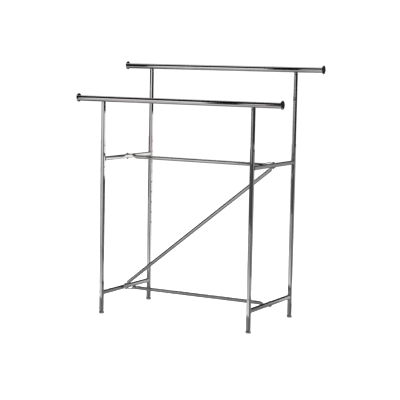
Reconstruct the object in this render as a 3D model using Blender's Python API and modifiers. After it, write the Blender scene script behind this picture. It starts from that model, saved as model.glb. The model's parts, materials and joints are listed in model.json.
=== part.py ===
"""A chromed double-rail garment rack with a folding Z brace and telescoping uprights, in metres, +Z up.

X runs along the hang rails, Y through the depth of the rack (front at -Y), and the origin is on the
floor in the middle of the rack.
"""

import math

import bmesh
import bpy
from mathutils import Matrix, Vector

INCH = 0.0254
GAP = 0.0003

# Layout
POST_SPACING = 46.25 * INCH
DEPTH_SPACING = 25.25 * INCH
FRONT_RAIL_HEIGHT = 60 * INCH
REAR_RAIL_HEIGHT = 69 * INCH
LOWER_CROSSBAR_HEIGHT = 5.85 * INCH
UPPER_CROSSBAR_HEIGHT = 43.5 * INCH

# Outer posts
POST_SIDE = 1 * INCH
POST_WALL = 0.0012
POST_CORNER = 0.0028
POST_BOTTOM = 0.019
POST_TOP = 48.5 * INCH
HOLE_PITCH = 3 * INCH
LOWEST_HOLE = 23.2 * INCH
HOLE_COUNT = 9
HOLE_RADIUS = 0.0050
DRAIN_HEIGHT = 9 * INCH
DRAIN_RADIUS = 0.0030

# Inner uprights
UPRIGHT_SIDE = 0.875 * INCH
UPRIGHT_WALL = 0.0012
UPRIGHT_CORNER = 0.0022
BUTTON_BELOW_RAIL = 27.8 * INCH
TAIL_BELOW_BUTTON = 4 * INCH

# Hang rails and their end caps
RAIL_LENGTH = 62.6 * INCH
RAIL_RADIUS = 0.75 * INCH
RAIL_WALL = 0.0015
CAP_RADIUS = 0.030
CAP_RISE = 0.0035
CAP_EDGE = 0.0035
CAP_DOME = 0.0035
CAP_CHAMFER = 0.0006
CAP_ROUND = 0.001
PLUG_LENGTH = 0.022

# Stubs that carry the rails on the uprights
STUB_RADIUS = 0.0095
STUB_LENGTH = 0.055
STUB_CHAMFER = 0.002
SADDLE_RADIUS = 0.0108
UPRIGHT_BELOW_RAIL = RAIL_RADIUS + 0.0016
SCREW_BELOW_RAIL = 0.034

# Z brace
BAR_RADIUS = 0.5 * INCH
BAR_WALL = 0.0014
BAR_AXIS_SHIFT = 0.0020
TONGUE_HALF_WIDTH = 0.0165
TONGUE_HALF_THICKNESS = 0.0014
TONGUE_FLAT = 0.040
TONGUE_TAPER = 0.036
DIAGONAL_FLAT = 0.010
DIAGONAL_TAPER = 0.013
TONGUE_POWER = 7
TIP_SHARES = (0.985, 0.85, 0.5, 0.0)
TIP_HALF_WIDTH = 0.0025
NECK_STEPS = (0.3, 0.55, 0.8, 1.0)
RING_POINTS = 16
BORE_SETBACK = 0.002
VENT_RADIUS = 0.0025
VENT_INSET = 0.030

# Pivot bolts
BOLT_RADIUS = 0.0039
BOLT_HOLE_RADIUS = 0.0043
WASHER_RADIUS = 0.0090
WASHER_THICKNESS = 0.0010
HEX_RADIUS = 0.0075
HEAD_HEIGHT = 0.0053
HEAD_OVERLAP = 0.001
NUT_HEIGHT = 0.0065
BOLT_TAIL = 0.0030

# Small screws: rail set screws and tube lock screws
SCREW_SHANK = 0.0021
SCREW_HOLE = 0.0025
SCREW_HEAD = 0.0055
SCREW_HEAD_HEIGHT = 0.0030
SCREW_DOME_DROP = 0.0045
SCREW_DOME_LIFT = 0.0007
SCREW_SKIRT = 0.0004
SOCKET_RADIUS = 0.0020
SOCKET_DEPTH = 0.0018
LOCK_SCREW_BELOW_TOP = 0.014

# Snap buttons, each riveted to a leaf spring as one clip
BUTTON_RADIUS = 0.0043
BUTTON_FLANGE_RADIUS = 0.0062
BUTTON_FLANGE = 0.0014
BUTTON_PROUD = 0.0023
BUTTON_CROWN = 0.6
LEAF_THICKNESS = 0.0008
LEAF_WIDTH = 0.0100
LEAF_ABOVE = 0.0070
LEAF_BEND = 0.0080
LEAF_FOOT = 0.034
LEAF_END = 0.050

# Floor glides
GLIDE_RADIUS = 0.0190
GLIDE_FOOT_RADIUS = 0.0110
GLIDE_STEM_RADIUS = 0.0085
GLIDE_STEM_TOP = 0.048
GLIDE_COLLAR = 0.003
GLIDE_RIM = 0.004

SIDES = {"left": -1, "right": 1}
ROWS = {"front": -1, "rear": 1}
RAIL_HEIGHTS = {"front": FRONT_RAIL_HEIGHT, "rear": REAR_RAIL_HEIGHT}


def clear_scene():
    for obj in list(bpy.data.objects):
        bpy.data.objects.remove(obj)


def make_collection(name, hidden=False):
    collection = bpy.data.collections.new(name)
    bpy.context.scene.collection.children.link(collection)
    collection.hide_render = hidden
    return collection


clear_scene()
PARTS = make_collection("garment_rack")
CUTTERS = make_collection("cutters", hidden=True)


def make_material(name, colour, roughness, metallic):
    material = bpy.data.materials.new(name)
    material.use_nodes = True
    shader = material.node_tree.nodes["Principled BSDF"]
    shader.inputs["Base Color"].default_value = (*colour, 1)
    shader.inputs["Roughness"].default_value = roughness
    shader.inputs["Metallic"].default_value = metallic
    return material


CHROME = make_material("chrome", (0.80, 0.80, 0.81), 0.08, 1.0)
ZINC = make_material("zinc", (0.62, 0.63, 0.65), 0.28, 1.0)
NYLON = make_material("nylon", (0.82, 0.81, 0.78), 0.45, 0.0)


def shade_smooth(mesh):
    mesh.shade_smooth()
    mesh.set_sharp_from_angle(angle=math.radians(35))


def add_object(name, mesh, material=None):
    """A piece of the rack, or a cutter when it has no material."""
    obj = bpy.data.objects.new(name, mesh)
    if material:
        mesh.materials.append(material)
        PARTS.objects.link(obj)
    else:
        CUTTERS.objects.link(obj)
        obj.hide_render = True
        obj.display_type = "WIRE"
    return obj


def boolean(obj, other, operation="DIFFERENCE"):
    modifier = obj.modifiers.new(operation.lower(), "BOOLEAN")
    modifier.operation = operation
    modifier.solver = "EXACT"
    modifier.object = other


def along(axis):
    """Rotation that turns local +Z to a world direction."""
    return Vector((0, 0, 1)).rotation_difference(Vector(axis)).to_matrix().to_4x4()


def cylinders(name, specs, segments):
    """One cutter mesh of separate cylinders, each (centre, axis, radius, length)."""
    bm = bmesh.new()
    for centre, axis, radius, length in specs:
        bmesh.ops.create_cone(
            bm,
            cap_ends=True,
            segments=segments,
            radius1=radius,
            radius2=radius,
            depth=length,
            matrix=Matrix.Translation(centre) @ along(axis),
        )
    mesh = bpy.data.meshes.new(name)
    bm.to_mesh(mesh)
    bm.free()
    return add_object(name, mesh)


def prism(name, radius, height, sides, material=None):
    """A regular prism that stands on its local origin."""
    bm = bmesh.new()
    bmesh.ops.create_cone(
        bm,
        cap_ends=True,
        segments=sides,
        radius1=radius,
        radius2=radius,
        depth=height,
        matrix=Matrix.Translation((0, 0, height / 2)),
    )
    mesh = bpy.data.meshes.new(name)
    bm.to_mesh(mesh)
    bm.free()
    return add_object(name, mesh, material)


def turned(name, profile, steps, material=None, ring=False):
    """A solid turned about local Z from a profile of (radius, height) that runs down its outer side."""
    mesh = bpy.data.meshes.new(name)
    points = [(radius, 0, height) for radius, height in profile]
    edges = [(i, i + 1) for i in range(len(points) - 1)]
    if ring:
        edges.append((len(points) - 1, 0))
    mesh.from_pydata(points, edges, [])
    obj = add_object(name, mesh, material)
    screw = obj.modifiers.new("turn", "SCREW")
    screw.steps = steps
    screw.render_steps = steps
    screw.use_merge_vertices = True
    screw.merge_threshold = 0.00001
    screw.use_smooth_shade = True
    return obj


def arc(centre, radius, start, end, count):
    """Points of an arc in degrees, both ends included."""
    angles = [math.radians(start + (end - start) * i / count) for i in range(count + 1)]
    return [(centre[0] + radius * math.cos(a), centre[1] + radius * math.sin(a)) for a in angles]


def rounded_square(side, corner):
    reach = side / 2 - corner
    points = []
    for quarter in range(4):
        turn = 90 * quarter
        sign_x = 1 if quarter in (0, 3) else -1
        sign_y = 1 if quarter in (0, 1) else -1
        points += arc((sign_x * reach, sign_y * reach), corner, turn, turn + 90, 3)
    return points


def square_tube(name, side, wall, corner, length, material):
    """A square tube with rounded corners, centred on its local Z axis, as a mesh that can be cut."""
    curve = bpy.data.curves.new(name + "_outline", "CURVE")
    curve.dimensions = "2D"
    curve.fill_mode = "BOTH"
    curve.extrude = length / 2
    for outline in (rounded_square(side, corner), rounded_square(side - 2 * wall, corner - wall)):
        spline = curve.splines.new("POLY")
        spline.points.add(len(outline) - 1)
        spline.use_cyclic_u = True
        for point, (x, y) in zip(spline.points, outline):
            point.co = (x, y, 0, 1)
    helper = bpy.data.objects.new(name + "_outline", curve)
    bpy.context.scene.collection.objects.link(helper)
    graph = bpy.context.evaluated_depsgraph_get()
    mesh = bpy.data.meshes.new_from_object(helper.evaluated_get(graph))
    bpy.data.objects.remove(helper)
    mesh.name = name
    bm = bmesh.new()
    bm.from_mesh(mesh)
    bmesh.ops.remove_doubles(bm, verts=bm.verts, dist=0.000005)
    bmesh.ops.recalc_face_normals(bm, faces=bm.faces)
    bm.to_mesh(mesh)
    bm.free()
    shade_smooth(mesh)
    return add_object(name, mesh, material)


def place(obj, location, axis=(0, 0, 1)):
    obj.matrix_world = Matrix.Translation(location) @ along(axis)
    return obj


def post_centre(side, row):
    return SIDES[side] * POST_SPACING / 2, ROWS[row] * DEPTH_SPACING / 2


def inward(side):
    """X direction of the face that looks into the rack, which holds the buttons and their holes."""
    return -SIDES[side]


def screw_direction(side):
    """The left uprights are screwed on their inner faces and the right ones on their front faces."""
    return (1, 0, 0) if side == "left" else (0, -1, 0)


# End frames


def outer_post(side, row):
    name = f"{side}_{row}_post"
    x, y = post_centre(side, row)
    length = POST_TOP - POST_BOTTOM
    middle = (POST_TOP + POST_BOTTOM) / 2
    post = square_tube(name, POST_SIDE, POST_WALL, POST_CORNER, length, CHROME)
    place(post, (x, y, middle))
    face_x = x + inward(side) * POST_SIDE / 2
    reach = 4 * POST_WALL
    drain = Vector(screw_direction(side)) * POST_SIDE / 2
    holes = [
        ((face_x, y, LOWEST_HOLE + i * HOLE_PITCH), (1, 0, 0), HOLE_RADIUS, reach)
        for i in range(HOLE_COUNT)
    ]
    holes.append((Vector((x, y, DRAIN_HEIGHT)) + drain, screw_direction(side), DRAIN_RADIUS, reach))
    lock_x = x - inward(side) * POST_SIDE / 2
    holes.append(((lock_x, y, POST_TOP - LOCK_SCREW_BELOW_TOP), (1, 0, 0), SCREW_HOLE, reach))
    boolean(post, cylinders(name + "_holes", holes, 12))


def crossbar(side, level, height):
    name = f"{side}_{level}_crossbar"
    x = SIDES[side] * POST_SPACING / 2
    length = DEPTH_SPACING - POST_SIDE - 2 * GAP
    bar = square_tube(name, POST_SIDE, POST_WALL, POST_CORNER, length, CHROME)
    place(bar, (x, 0, height), (0, 1, 0))
    hole = ((x, 0, height), (0, 0, 1), BOLT_HOLE_RADIUS, 2 * POST_SIDE)
    boolean(bar, cylinders(name + "_hole", [hole], 16))


def glide(side, row):
    x, y = post_centre(side, row)
    shoulder = POST_BOTTOM - GAP
    curve_radius = GLIDE_RADIUS - GLIDE_FOOT_RADIUS
    profile = [
        (0, GLIDE_STEM_TOP),
        (GLIDE_STEM_RADIUS, GLIDE_STEM_TOP),
        (GLIDE_STEM_RADIUS, shoulder),
        (POST_SIDE / 2, shoulder),
        (POST_SIDE / 2, shoulder - GLIDE_COLLAR),
        (GLIDE_RADIUS, curve_radius + GLIDE_RIM),
    ]
    profile += arc((GLIDE_FOOT_RADIUS, curve_radius), curve_radius, 0, -90, 3)
    profile.append((0, 0))
    place(turned(f"{side}_{row}_glide", profile, 20, CHROME), (x, y, 0))


def button_head_screw(name, location, direction, shank_length):
    """A small domed screw whose head stands on its local origin, with its shank below and a hex socket."""
    dome_radius = math.hypot(SCREW_HEAD - GAP, SCREW_DOME_DROP + SCREW_DOME_LIFT)
    dome = arc((0, -SCREW_DOME_DROP), dome_radius, 90, 45, 4)
    profile = [(radius, min(height, SCREW_HEAD_HEIGHT)) for radius, height in dome]
    profile += [(SCREW_HEAD, SCREW_SKIRT), (SCREW_HEAD, 0), (SCREW_SHANK, 0), (SCREW_SHANK, -shank_length)]
    profile.append((0, -shank_length))
    profile[0] = (0, profile[0][1])
    screw = place(turned(name, profile, 12, ZINC), location, direction)
    socket = prism(name + "_socket", SOCKET_RADIUS, 2 * SOCKET_DEPTH, 6)
    recess = Vector(location) + Vector(direction) * (SCREW_HEAD_HEIGHT - SOCKET_DEPTH)
    boolean(screw, place(socket, recess, direction))


def lock_screw(side, row):
    x, y = post_centre(side, row)
    outward = -inward(side)
    location = (x + outward * (POST_SIDE / 2 + GAP), y, POST_TOP - LOCK_SCREW_BELOW_TOP)
    button_head_screw(f"{side}_{row}_lock_screw", location, (outward, 0, 0), POST_WALL)


# Telescoping uprights


def upright_span(row):
    top = RAIL_HEIGHTS[row] - UPRIGHT_BELOW_RAIL
    bottom = RAIL_HEIGHTS[row] - BUTTON_BELOW_RAIL - TAIL_BELOW_BUTTON
    return bottom, top


def upright(side, row):
    name = f"{side}_{row}_upright"
    x, y = post_centre(side, row)
    bottom, top = upright_span(row)
    tube = square_tube(name, UPRIGHT_SIDE, UPRIGHT_WALL, UPRIGHT_CORNER, top - bottom, CHROME)
    place(tube, (x, y, (top + bottom) / 2))
    reach = 4 * UPRIGHT_WALL
    button_face = x + inward(side) * UPRIGHT_SIDE / 2
    button_height = RAIL_HEIGHTS[row] - BUTTON_BELOW_RAIL
    screw_side = Vector(screw_direction(side))
    screw_point = Vector((x, y, RAIL_HEIGHTS[row] - SCREW_BELOW_RAIL)) + screw_side * UPRIGHT_SIDE / 2
    holes = [
        ((button_face, y, button_height), (1, 0, 0), HOLE_RADIUS, reach),
        (screw_point, screw_side, SCREW_HOLE, reach),
    ]
    boolean(tube, cylinders(name + "_holes", holes, 12))
    location = screw_point + screw_side * GAP
    button_head_screw(f"{side}_{row}_set_screw", location, screw_side, UPRIGHT_WALL)


def leaf_spring(name):
    """A strip that carries the button at its upper end and is spot welded to the wall at its foot."""
    wall = UPRIGHT_SIDE / 2 - UPRIGHT_WALL
    at_button = wall - GAP - BUTTON_FLANGE
    at_foot = wall - GAP - LEAF_THICKNESS / 2
    path = [(LEAF_ABOVE, at_button), (-LEAF_BEND, at_button), (-LEAF_FOOT, at_foot), (-LEAF_END, at_foot)]
    bm = bmesh.new()
    verts = [bm.verts.new((up, -LEAF_WIDTH / 2, out)) for up, out in path]
    edges = [bm.edges.new(pair) for pair in zip(verts, verts[1:])]
    swept = bmesh.ops.extrude_edge_only(bm, edges=edges)["geom"]
    moved = [item for item in swept if isinstance(item, bmesh.types.BMVert)]
    bmesh.ops.translate(bm, verts=moved, vec=(0, LEAF_WIDTH, 0))
    bmesh.ops.recalc_face_normals(bm, faces=bm.faces)
    mesh = bpy.data.meshes.new(name)
    bm.to_mesh(mesh)
    bm.free()
    leaf = add_object(name, mesh)
    solidify = leaf.modifiers.new("thickness", "SOLIDIFY")
    solidify.thickness = LEAF_THICKNESS
    solidify.offset = 0
    solidify.use_even_offset = True
    return leaf


def button_clip(side, row):
    """The button looks along local Z, and the leaf hangs below it inside the upright."""
    name = f"{side}_{row}_button_clip"
    x, y = post_centre(side, row)
    height = RAIL_HEIGHTS[row] - BUTTON_BELOW_RAIL
    flange_face = UPRIGHT_SIDE / 2 - UPRIGHT_WALL - GAP
    back = flange_face - BUTTON_FLANGE
    tip = POST_SIDE / 2 + BUTTON_PROUD
    shoulder = tip - BUTTON_RADIUS * BUTTON_CROWN
    dome = arc((0, 0), BUTTON_RADIUS, 90, 0, 4)
    profile = [(radius, shoulder + rise * BUTTON_CROWN) for radius, rise in dome]
    profile[0] = (0, tip)
    profile += [
        (BUTTON_RADIUS, flange_face),
        (BUTTON_FLANGE_RADIUS, flange_face),
        (BUTTON_FLANGE_RADIUS, back),
        (0, back),
    ]
    facing = Vector((inward(side), 0, 0))
    upward = Vector((0, 0, 1))
    basis = Matrix((upward, facing.cross(upward), facing)).transposed().to_4x4()
    clip = turned(name, profile, 16, ZINC)
    leaf = leaf_spring(name + "_leaf")
    for piece in (clip, leaf):
        piece.matrix_world = Matrix.Translation((x, y, height)) @ basis
    boolean(clip, leaf, "UNION")


# Hang rails


def hang_rail(row):
    half = RAIL_LENGTH / 2
    inner = RAIL_RADIUS - RAIL_WALL
    profile = [(RAIL_RADIUS, half), (RAIL_RADIUS, -half), (inner, -half), (inner, half)]
    rail = turned(f"{row}_rail", profile, 48, CHROME, ring=True)
    place(rail, (0, ROWS[row] * DEPTH_SPACING / 2, RAIL_HEIGHTS[row]), (1, 0, 0))


def rail_stub(side, row):
    """A round pin that turns in the top of the upright, with a seat shaped to the rail's underside."""
    name = f"{side}_{row}_rail_stub"
    x, y = post_centre(side, row)
    rail_height = RAIL_HEIGHTS[row]
    seat_bottom = -UPRIGHT_BELOW_RAIL + GAP
    seat_top = -RAIL_RADIUS * 0.8
    pin_bottom = seat_bottom - STUB_LENGTH
    profile = [
        (0, seat_top),
        (SADDLE_RADIUS, seat_top),
        (SADDLE_RADIUS, seat_bottom),
        (STUB_RADIUS, seat_bottom),
        (STUB_RADIUS, pin_bottom + STUB_CHAMFER),
        (STUB_RADIUS - STUB_CHAMFER, pin_bottom),
        (0, pin_bottom),
    ]
    stub = place(turned(name, profile, 16, CHROME), (x, y, rail_height))
    rail_space = ((x, y, rail_height), (1, 0, 0), RAIL_RADIUS + GAP, 4 * SADDLE_RADIUS)
    boolean(stub, cylinders(name + "_rail_space", [rail_space], 64))


def end_cap(side, row):
    """A domed disc that stands higher above the rail than below it, with a plug inside the rail."""
    name = f"{side}_{row}_end_cap"
    outward = SIDES[side]
    y = ROWS[row] * DEPTH_SPACING / 2
    x = outward * (RAIL_LENGTH / 2 + GAP)
    height = RAIL_HEIGHTS[row]
    sphere_radius = (CAP_RADIUS**2 + CAP_DOME**2) / (2 * CAP_DOME)
    spread = math.degrees(math.asin((CAP_RADIUS - CAP_ROUND) / sphere_radius))
    centre = (0, CAP_EDGE + CAP_DOME - sphere_radius)
    profile = arc(centre, sphere_radius, 90, 90 - spread, 4)
    profile[0] = (0, profile[0][1])
    profile += [(CAP_RADIUS, CAP_EDGE - CAP_CHAMFER), (CAP_RADIUS, CAP_CHAMFER)]
    profile += [(CAP_RADIUS - CAP_CHAMFER, 0), (0, 0)]
    cap = turned(name, profile, 32, CHROME)
    place(cap, (x, y, height + CAP_RISE), (outward, 0, 0))
    plug_radius = RAIL_RADIUS - RAIL_WALL - 2 * GAP
    depth = PLUG_LENGTH + CAP_EDGE / 2
    plug = ((x - outward * (PLUG_LENGTH - CAP_EDGE / 2) / 2, y, height), (1, 0, 0), plug_radius, depth)
    boolean(cap, cylinders(name + "_plug", [plug], 24), "UNION")


# Z brace


def superellipse(half_width, half_height, power):
    """Points of a ring that is round at power 2 and flat-sided as the power grows."""
    points = []
    for i in range(RING_POINTS):
        angle = 2 * math.pi * (i + 0.5) / RING_POINTS
        across = math.copysign(abs(math.cos(angle)) ** (2 / power), math.cos(angle))
        up = math.copysign(abs(math.sin(angle)) ** (2 / power), math.sin(angle))
        points.append((half_width * across, half_height * up))
    return points


def mix(a, b, share):
    return a + (b - a) * share


def bar_end(bolt, tube_start, tube_direction, flat):
    """Rings from the round tip of a flattened end to the full tube: (centre, direction, points)."""
    level = Vector((math.copysign(1, tube_direction.x), 0, 0))
    rings = []
    for share in TIP_SHARES:
        width = max(TONGUE_HALF_WIDTH * math.sqrt(1 - share**2), TIP_HALF_WIDTH)
        centre = bolt - level * TONGUE_HALF_WIDTH * share
        rings.append((centre, level, superellipse(width, TONGUE_HALF_THICKNESS, TONGUE_POWER)))
    flat_end = bolt + level * flat
    flat_ring = superellipse(TONGUE_HALF_WIDTH, TONGUE_HALF_THICKNESS, TONGUE_POWER)
    rings.append((flat_end, level, flat_ring))
    for step in NECK_STEPS:
        ease = step * step * (3 - 2 * step)
        straight = flat_end.lerp(tube_start, step)
        eased = mix(flat_end.z, tube_start.z, ease)
        centre = Vector((straight.x, 0, mix(eased, straight.z, abs(tube_direction.z))))
        direction = level.lerp(tube_direction, ease).normalized()
        width = mix(TONGUE_HALF_WIDTH, BAR_RADIUS, ease)
        thickness = mix(TONGUE_HALF_THICKNESS, BAR_RADIUS, ease)
        rings.append((centre, direction, superellipse(width, thickness, mix(TONGUE_POWER, 2, ease))))
    return rings


def brace_bar(name, left_bolt, right_bolt, left_start, right_start, flat):
    """A round tube between two flattened ends, hollow along its straight run, with vent holes below."""
    direction = (right_start - left_start).normalized()
    rings = bar_end(left_bolt, left_start, direction, flat)
    far_rings = bar_end(right_bolt, right_start, -direction, flat)
    rings += [(centre, -heading, points) for centre, heading, points in reversed(far_rings)]
    bm = bmesh.new()
    loops = []
    for centre, heading, points in rings:
        above = Vector((-heading.z, 0, heading.x))
        corners = [centre + Vector((0, across, 0)) + above * up for across, up in points]
        loops.append([bm.verts.new(corner) for corner in corners])
    for first, second in zip(loops, loops[1:]):
        for i in range(RING_POINTS):
            j = (i + 1) % RING_POINTS
            bm.faces.new((first[i], second[i], second[j], first[j]))
    bm.faces.new(loops[0])
    bm.faces.new(loops[-1])
    bmesh.ops.recalc_face_normals(bm, faces=bm.faces)
    mesh = bpy.data.meshes.new(name)
    bm.to_mesh(mesh)
    bm.free()
    shade_smooth(mesh)
    bar = add_object(name, mesh, CHROME)
    middle = (left_start + right_start) / 2
    length = (right_start - left_start).length - 2 * BORE_SETBACK
    vent_inset = direction * VENT_INSET
    underside = Vector((direction.z, 0, -direction.x)) * BAR_RADIUS
    bore = BAR_RADIUS - BAR_WALL
    boolean(bar, cylinders(name + "_bore", [(middle, direction, bore, length)], RING_POINTS))
    vents = [
        (left_start + vent_inset + underside, underside, VENT_RADIUS, 6 * BAR_WALL),
        (right_start - vent_inset + underside, underside, VENT_RADIUS, 6 * BAR_WALL),
    ]
    boolean(bar, cylinders(name + "_vents", vents, 10))
    reach = 8 * TONGUE_HALF_THICKNESS
    bolts = [(bolt, (0, 0, 1), BOLT_HOLE_RADIUS, reach) for bolt in (left_bolt, right_bolt)]
    boolean(bar, cylinders(name + "_bolt_holes", bolts, 16))


def tongue_offset(washer):
    """Height of a tongue's centre from the crossbar's centre, with or without a washer between."""
    packing = WASHER_THICKNESS + GAP if washer else 0
    return POST_SIDE / 2 + GAP + packing + TONGUE_HALF_THICKNESS


def z_brace():
    half = POST_SPACING / 2
    run = TONGUE_FLAT + TONGUE_TAPER
    upper_bolts = UPPER_CROSSBAR_HEIGHT + tongue_offset(True)
    lower_bolts = LOWER_CROSSBAR_HEIGHT - tongue_offset(False)
    lower_right = LOWER_CROSSBAR_HEIGHT - tongue_offset(True)
    upper_axis = UPPER_CROSSBAR_HEIGHT - BAR_AXIS_SHIFT
    lower_axis = LOWER_CROSSBAR_HEIGHT - BAR_AXIS_SHIFT
    brace_bar(
        "brace_upper_bar",
        Vector((-half, 0, upper_bolts)),
        Vector((half, 0, upper_bolts)),
        Vector((-half + run, 0, upper_axis)),
        Vector((half - run, 0, upper_axis)),
        TONGUE_FLAT,
    )
    brace_bar(
        "brace_lower_bar",
        Vector((-half, 0, lower_bolts)),
        Vector((half, 0, lower_right)),
        Vector((-half + run, 0, lower_axis)),
        Vector((half - run, 0, lower_axis)),
        TONGUE_FLAT,
    )
    diagonal_brace(half)


def diagonal_brace(half):
    """The tube's axis aims at both bolts, so its ends are flattened only close round them."""
    low = Vector((-half, 0, LOWER_CROSSBAR_HEIGHT + tongue_offset(True)))
    high = Vector((half, 0, UPPER_CROSSBAR_HEIGHT - tongue_offset(False)))
    run = DIAGONAL_FLAT + DIAGONAL_TAPER
    slope = (high.z - low.z) / (high.x - low.x)
    rise = Vector((run, 0, run * slope))
    brace_bar("brace_diagonal_bar", low, high, low + rise, high - rise, DIAGONAL_FLAT)


def pivot(side, level, height, above, below):
    """Bolt, lock nut and washer. above and below: distance of the clamped stack's ends from the crossbar."""
    x = SIDES[side] * POST_SPACING / 2
    top = height + above + GAP
    bottom = height - below - GAP
    length = top - bottom + NUT_HEIGHT + BOLT_TAIL
    name = f"{side}_{level}_pivot"
    start, end = HEAD_OVERLAP, HEAD_OVERLAP - length
    shank = [(0, start), (BOLT_RADIUS, start), (BOLT_RADIUS, end), (0, end)]
    head = prism(name + "_bolt", HEX_RADIUS, HEAD_HEIGHT, 6, ZINC)
    place(head, (x, 0, top))
    boolean(head, place(turned(name + "_shank", shank, 16), (x, 0, top)), "UNION")
    nut = place(prism(name + "_nut", HEX_RADIUS, NUT_HEIGHT, 6, ZINC), (x, 0, bottom - NUT_HEIGHT))
    thread = ((x, 0, bottom - NUT_HEIGHT / 2), (0, 0, 1), BOLT_RADIUS + GAP, 2 * NUT_HEIGHT)
    boolean(nut, cylinders(name + "_thread", [thread], 16))


def pivot_washer(side, level, crossbar_height, up):
    inner = BOLT_HOLE_RADIUS
    half = WASHER_THICKNESS / 2
    profile = [(WASHER_RADIUS, half), (WASHER_RADIUS, -half), (inner, -half), (inner, half)]
    washer = turned(f"{side}_{level}_pivot_washer", profile, 20, NYLON, ring=True)
    offset = up * (POST_SIDE / 2 + GAP + half)
    place(washer, (SIDES[side] * POST_SPACING / 2, 0, crossbar_height + offset))


def pivots():
    face = POST_SIDE / 2
    tongue = 2 * TONGUE_HALF_THICKNESS + GAP
    packed = tongue + WASHER_THICKNESS + GAP
    pivot("left", "upper", UPPER_CROSSBAR_HEIGHT, face + packed, face)
    pivot("right", "upper", UPPER_CROSSBAR_HEIGHT, face + packed, face + tongue)
    pivot("left", "lower", LOWER_CROSSBAR_HEIGHT, face + packed, face + tongue)
    pivot("right", "lower", LOWER_CROSSBAR_HEIGHT, face, face + packed)
    pivot_washer("left", "upper", UPPER_CROSSBAR_HEIGHT, 1)
    pivot_washer("right", "upper", UPPER_CROSSBAR_HEIGHT, 1)
    pivot_washer("left", "lower", LOWER_CROSSBAR_HEIGHT, 1)
    pivot_washer("right", "lower", LOWER_CROSSBAR_HEIGHT, -1)


def build_rack():
    for side in SIDES:
        crossbar(side, "lower", LOWER_CROSSBAR_HEIGHT)
        crossbar(side, "upper", UPPER_CROSSBAR_HEIGHT)
        for row in ROWS:
            outer_post(side, row)
            glide(side, row)
            lock_screw(side, row)
            upright(side, row)
            button_clip(side, row)
            rail_stub(side, row)
            end_cap(side, row)
    for row in ROWS:
        hang_rail(row)
    z_brace()
    pivots()


build_rack()
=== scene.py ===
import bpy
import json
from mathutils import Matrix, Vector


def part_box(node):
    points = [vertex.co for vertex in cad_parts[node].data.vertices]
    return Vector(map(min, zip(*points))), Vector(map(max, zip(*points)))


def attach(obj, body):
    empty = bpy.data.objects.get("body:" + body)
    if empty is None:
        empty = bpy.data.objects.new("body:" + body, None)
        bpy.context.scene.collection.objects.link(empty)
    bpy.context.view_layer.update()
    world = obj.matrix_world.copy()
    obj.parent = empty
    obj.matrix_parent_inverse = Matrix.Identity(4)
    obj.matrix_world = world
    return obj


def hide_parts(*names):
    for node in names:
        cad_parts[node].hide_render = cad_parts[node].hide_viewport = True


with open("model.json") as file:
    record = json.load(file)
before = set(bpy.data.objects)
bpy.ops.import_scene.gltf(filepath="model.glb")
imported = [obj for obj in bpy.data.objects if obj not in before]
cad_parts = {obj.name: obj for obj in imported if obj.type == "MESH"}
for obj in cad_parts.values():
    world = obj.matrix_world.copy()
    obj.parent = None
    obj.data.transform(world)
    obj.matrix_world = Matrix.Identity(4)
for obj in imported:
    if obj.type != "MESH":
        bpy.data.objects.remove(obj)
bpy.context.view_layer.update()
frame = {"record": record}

# The looks of a chromed double-rail garment rack, in metres, +Z up. Every piece is built at the
# size and place of its CAD node, with finer round shapes, eased edges, threads and plated
# finishes. The weld beads and the buttons' leaf springs are pieces beside those.

import json
import math

import bmesh
import bpy
from mathutils import Matrix, Vector, noise

SIDES = {"left": -1, "right": 1}
ROWS = {"front": -1, "rear": 1}
BODY_OF = {
    node: body for body, nodes in frame["record"]["behaviour"]["bodies"].items() for node in nodes
}

# Sizes that a node's box can't tell
GAP = 0.0003

POST_WALL = 0.0012
POST_CORNER = 0.0028
UPRIGHT_CORNER = 0.0022
TUBE_EDGE = 0.0003
TUBE_CROWN = 0.00028
CROWN_STEPS = 10
CUT_THROUGH = 4 * POST_WALL
END_FACE_NORMAL = 0.9

HOLE_PITCH = 0.0762
LOWEST_HOLE = 0.58928
HOLE_COUNT = 9
HOLE_RADIUS = 0.0050
DRAIN_HEIGHT = 0.2286
DRAIN_RADIUS = 0.0030
SCREW_HOLE = 0.0025
BOLT_HOLE = 0.0043

WELD_REACH = 0.0026
WELD_LUMP = 0.0006
WELD_LUMP_SCALE = 420
WELD_STEPS = 6
WELD_CORNER_STEPS = 9

BOLT_HEAD = 0.0053
SHANK_RADIUS = 0.0039
THREAD_PITCH = 0.00125
THREAD_DEPTH = 0.0004
HEX_CHAMFER_ANGLE = 32
SOCKET_RADIUS = 0.0020
SOCKET_DEPTH = 0.0018
LEAF_RISE = 0.0070

RAIL_WALL = 0.0015
RAIL_STEPS = 128

BAR_RADIUS = 0.0127
TONGUE_HALF_WIDTH = 0.0165
TONGUE_HALF_THICKNESS = 0.0014
TONGUE_TIP = 0.0012
TONGUE_FLAT = 0.040
TONGUE_TAPER = 0.036
DIAGONAL_FLAT = 0.010
DIAGONAL_TAPER = 0.013
SQUARE_POWER = 7
ROUND_POWER = 2
RING_POINTS = 56
TAPER_STEPS = 16

# How surfaces are shaded
SHARP_ANGLE = 32
FLAT_FACE_WEIGHT = 80
CLOUD_SCALE = 9
SMUDGE_SCALE = 38
GRAIN_SCALE = 700
GRAIN_HEIGHT = 0.000006


# Materials


def node_at(tree, kind, **inputs):
    node = tree.nodes.new(kind)
    for name, value in inputs.items():
        node.inputs[name.replace("_", " ")].default_value = value
    return node


def object_noise(tree, coords, scale, stretch=(1, 1, 1), detail=3.0):
    mapping = node_at(tree, "ShaderNodeMapping", Scale=stretch)
    tree.links.new(coords.outputs["Object"], mapping.inputs["Vector"])
    texture = node_at(tree, "ShaderNodeTexNoise", Scale=scale, Detail=detail)
    tree.links.new(mapping.outputs["Vector"], texture.inputs["Vector"])
    return texture.outputs["Fac"]


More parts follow.
